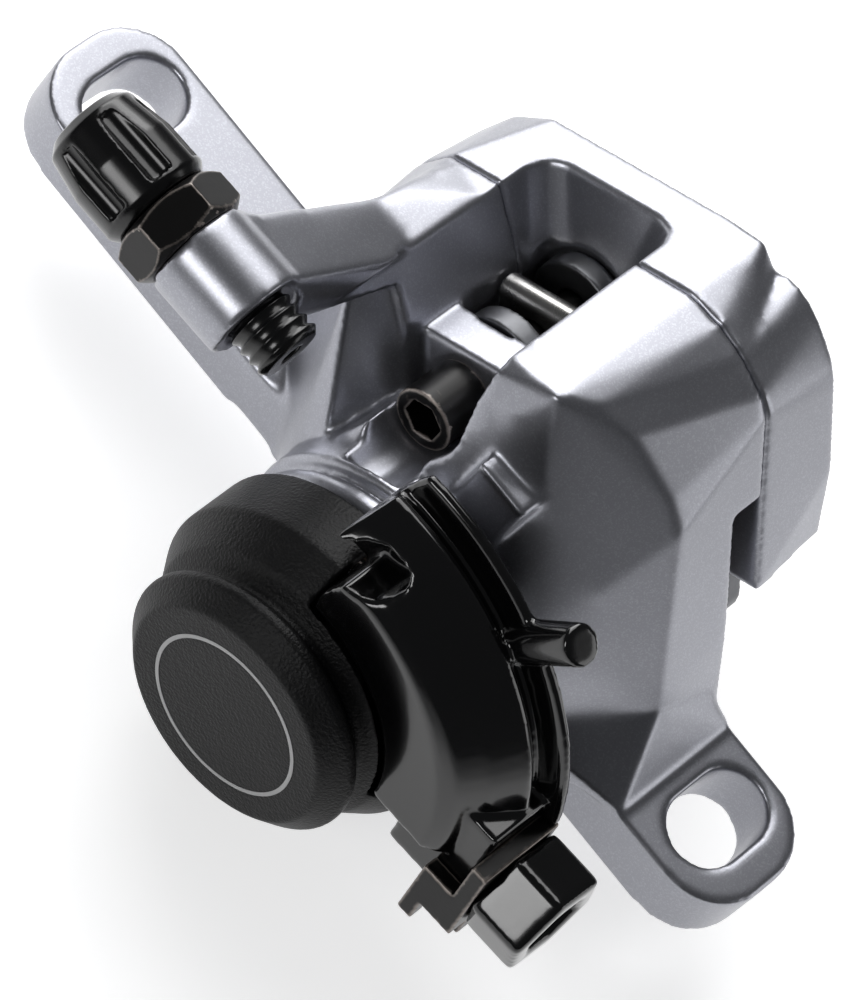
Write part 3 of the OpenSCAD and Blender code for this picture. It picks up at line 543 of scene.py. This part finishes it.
class CALIPER_OT_return_spring(bpy.types.Operator):
    """The round-wire coil under the arm"""

    bl_idname = "caliper.return_spring"
    bl_label = "Return spring"

    def execute(self, context):
        looks = finishes(context.scene.caliper_colours)
        low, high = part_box("return_spring")
        wire, steps, turns = 0.4 * MM, 48, 2
        middle = (high.x - low.x) / 2 - wire
        pitch = (high.y - low.y - 2 * wire) / turns
        bm = bmesh.new()
        start = Matrix.Translation((0, high.y - wire, 0)) @ Matrix.Translation((AXIS.x, 0, AXIS.z + middle))
        ring = bmesh.ops.create_circle(
            bm, cap_ends=True, radius=wire, segments=12, matrix=start @ Matrix.Rotation(math.pi / 2, 4, "Y"))
        geom = ring["verts"] + list(bm.edges) + list(bm.faces)
        bmesh.ops.spin(
            bm, geom=geom, cent=(AXIS.x, 0, AXIS.z), axis=(0, 1, 0), dvec=(0, -pitch / steps, 0),
            angle=2 * math.pi * turns, steps=steps * turns, use_merge=False, use_duplicate=False)
        bmesh.ops.remove_doubles(bm, verts=bm.verts, dist=WELD)
        bmesh.ops.recalc_face_normals(bm, faces=bm.faces)
        coil = new_piece("return_spring_wire", bm)
        dress(coil, looks["blacked"], "housing", "spring_steel", "return_spring")
        return {"FINISHED"}


class CALIPER_OT_pad_adjuster(bpy.types.Operator):
    """The inboard pad's adjusting screw, dial and clip"""

    bl_idname = "caliper.pad_adjuster"
    bl_label = "Pad adjuster"

    def execute(self, context):
        looks = finishes(context.scene.caliper_colours)
        soften_rows((
            ("pad_adjuster_screw", "adjuster_screw", 0.2 * MM, 3, "steel", "adjuster", "steel"),
            ("pad_adjuster_dial", "adjuster_dial", 0.17 * MM, 5, "dial", "adjuster", "dial_plastic"),
            ("pad_adjuster_clip", "dial_clip", 0.1 * MM, 2, "spring", "adjuster", "steel"),
        ), looks)
        return {"FINISHED"}


class CALIPER_OT_mechanism(bpy.types.Operator):
    """The bearing balls, and finishes for the turned and ground parts that keep their CAD shape"""

    bl_idname = "caliper.mechanism"
    bl_label = "Mechanism"

    def execute(self, context):
        looks = finishes(context.scene.caliper_colours)
        kept = {
            "outer_piston": "steel", "piston_seal": "rubber", "thrust_washer": "bronze", "drive_shaft": "steel",
            "ball_cage": "bronze", "fixed_ramp": "steel", "shaft_bush": "bronze",
            "arm_washer": "steel", "arm_bolt": "blacked", "cap_ring": "ink", "adjuster_seal": "rubber",
        }
        for source, look in kept.items():
            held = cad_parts[source]
            for held_slot in held.material_slots:
                held_slot.material = looks[look]
        # Three balls on the solid's circle, the first of them toward +X from the piston's axis
        low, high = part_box("ramp_balls")
        radius, y = (high.y - low.y) / 2, (high.y + low.y) / 2
        out = Vector((high.x - AXIS.x - radius, y, 0))
        bm = bmesh.new()
        for turn in range(3):
            round_axis = Matrix.Translation(AXIS) @ Matrix.Rotation(turn * math.tau / 3, 4, "Y")
            place = round_axis @ Matrix.Translation(out)
            bmesh.ops.create_uvsphere(bm, u_segments=40, v_segments=20, radius=radius, matrix=place)
        balls = new_piece("bearing_balls", bm)
        dress(balls, looks["ball"], "ball_set", "steel", "ramp_balls")
        return {"FINISHED"}


class CALIPER_OT_stage(bpy.types.Operator):
    """Camera, pale floor and soft studio light"""

    bl_idname = "caliper.stage"
    bl_label = "Stage"

    def execute(self, context):
        scene = context.scene
        # The camera that was fitted to the photograph: lens in mm, place in metres, and its three axes
        lens = bpy.data.cameras.new("Photograph")
        lens.sensor_fit = "VERTICAL"
        lens.sensor_height = 36
        lens.lens = 234.95
        lens.clip_start = 0.01
        camera = bpy.data.objects.new("Photograph", lens)
        scene.collection.objects.link(camera)
        right, up, back = (
            Vector((0.63032, 0.66912, 0.39367)), Vector((-0.77386, 0.50103, 0.38745)),
            Vector((0.06201, -0.54886, 0.83362)))
        turn = Matrix((right, up, back)).transposed().to_4x4()
        camera.matrix_world = Matrix.Translation((0.03516, -0.28837, 0.44092)) @ turn
        scene.camera = camera

        # Floor: matt pale paper that a camera or a mirror sees a little lighter, so that it reads as white
        bm = bmesh.new()
        reach = 1.5
        bmesh.ops.create_grid(bm, x_segments=1, y_segments=1, size=reach)
        bmesh.ops.translate(bm, verts=bm.verts, vec=(0, 0, -scene.caliper_sizes.floor_drop))
        floor = new_piece("floor", bm)
        paper = bpy.data.materials.new("Pale matt paper")
        paper.use_nodes = True
        tree = paper.node_tree
        shader = tree.nodes["Principled BSDF"]
        shader.inputs["Base Color"].default_value = (*linear("#e9e9ea"), 1)
        shader.inputs["Roughness"].default_value = 0.9
        shader.inputs["Emission Color"].default_value = (1, 1, 1, 1)
        path = node(tree, "ShaderNodeLightPath").outputs
        seen = path["Is Camera Ray"]
        for ray in ("Is Glossy Ray", "Is Transmission Ray"):
            seen = node(tree, "ShaderNodeMath", links={0: seen, 1: path[ray]}, operation="MAXIMUM").outputs[0]
        # The lift is a painted pool of light round the caliper, seen by the camera and in mirrors but lighting
        # nothing:
        # it is full to 86 mm from the middle and gone at 192 mm
        place = node(tree, "ShaderNodeTexCoord").outputs["Object"]
        place = node(tree, "ShaderNodeMapping", {"Scale": (5.2, 5.2, 5.2)}, {"Vector": place})
        near = node(
            tree, "ShaderNodeTexGradient", links={"Vector": place.outputs[0]}, gradient_type="SPHERICAL")
        fade = node(
            tree, "ShaderNodeMapRange", {"From Max": 0.55, "To Max": 0.62}, {"Value": near.outputs["Fac"]})
        lift = node(
            tree, "ShaderNodeMath", links={0: seen, 1: fade.outputs["Result"]}, operation="MULTIPLY")
        tree.links.new(lift.outputs[0], shader.inputs["Emission Strength"])
        floor.data.materials.append(paper)

        world = scene.world or bpy.data.worlds.new("Studio")
        scene.world = world
        world.use_nodes = True
        sky = world.node_tree.nodes["Background"]
        sky.inputs["Color"].default_value = (*linear("#f2f4f8"), 1)
        sky.inputs["Strength"].default_value = 0.08

        # Softboxes: (name, centre, width, height, radiance); each faces the caliper
        for name, centre, width, height, radiance in (
            ("key_softbox", (-0.46, 0.36, 0.22), 0.44, 0.42, 3.0),
            ("top_softbox", (-0.21, 0.19, 0.31), 0.36, 0.36, 3.1),
            ("right_softbox", (0.47, 0.30, 0.14), 0.3, 0.3, 1.6),
            ("front_softbox", (-0.13, -0.47, 0.27), 0.2, 0.18, 6.5),
        ):
            lamp = bpy.data.lights.new(name, "AREA")
            lamp.shape = "RECTANGLE"
            lamp.size, lamp.size_y = width, height
            lamp.energy = math.pi * width * height * radiance
            held = bpy.data.objects.new(name, lamp)
            scene.collection.objects.link(held)
            turn = Vector(centre).to_track_quat("Z", "Y").to_matrix().to_4x4()
            held.matrix_world = Matrix.Translation(centre) @ turn
        scene.view_settings.view_transform = "Standard"
        return {"FINISHED"}


class CALIPER_PT_panel(bpy.types.Panel):
    """Lists the pieces, their sizes and their colours"""

    bl_label = "Caliper"
    bl_idname = "CALIPER_PT_panel"
    bl_space_type = "VIEW_3D"
    bl_region_type = "UI"
    bl_category = "Caliper"

    def draw(self, context):
        column = self.layout.column(align=True)
        for piece in PIECES:
            column.operator(piece.bl_idname)
        for group in (context.scene.caliper_sizes, context.scene.caliper_colours):
            column.separator()
            for name in group.__annotations__:
                column.prop(group, name)


PIECES = (
    CALIPER_OT_housing, CALIPER_OT_arm, CALIPER_OT_cap, CALIPER_OT_cable_adjuster, CALIPER_OT_fasteners,
    CALIPER_OT_pads, CALIPER_OT_return_spring, CALIPER_OT_pad_adjuster, CALIPER_OT_mechanism, CALIPER_OT_stage)
CLASSES = (CALIPER_Sizes, CALIPER_Colours) + PIECES + (CALIPER_PT_panel,)


def register():
    for kind in CLASSES:
        bpy.utils.register_class(kind)
    bpy.types.Scene.caliper_sizes = PointerProperty(type=CALIPER_Sizes)
    bpy.types.Scene.caliper_colours = PointerProperty(type=CALIPER_Colours)


def unregister():
    del bpy.types.Scene.caliper_colours
    del bpy.types.Scene.caliper_sizes
    for kind in reversed(CLASSES):
        bpy.utils.unregister_class(kind)


def main():
    register()
    for piece in PIECES:
        group, name = piece.bl_idname.split(".")
        getattr(getattr(bpy.ops, group), name)()


if __name__ == "__main__":
    main()
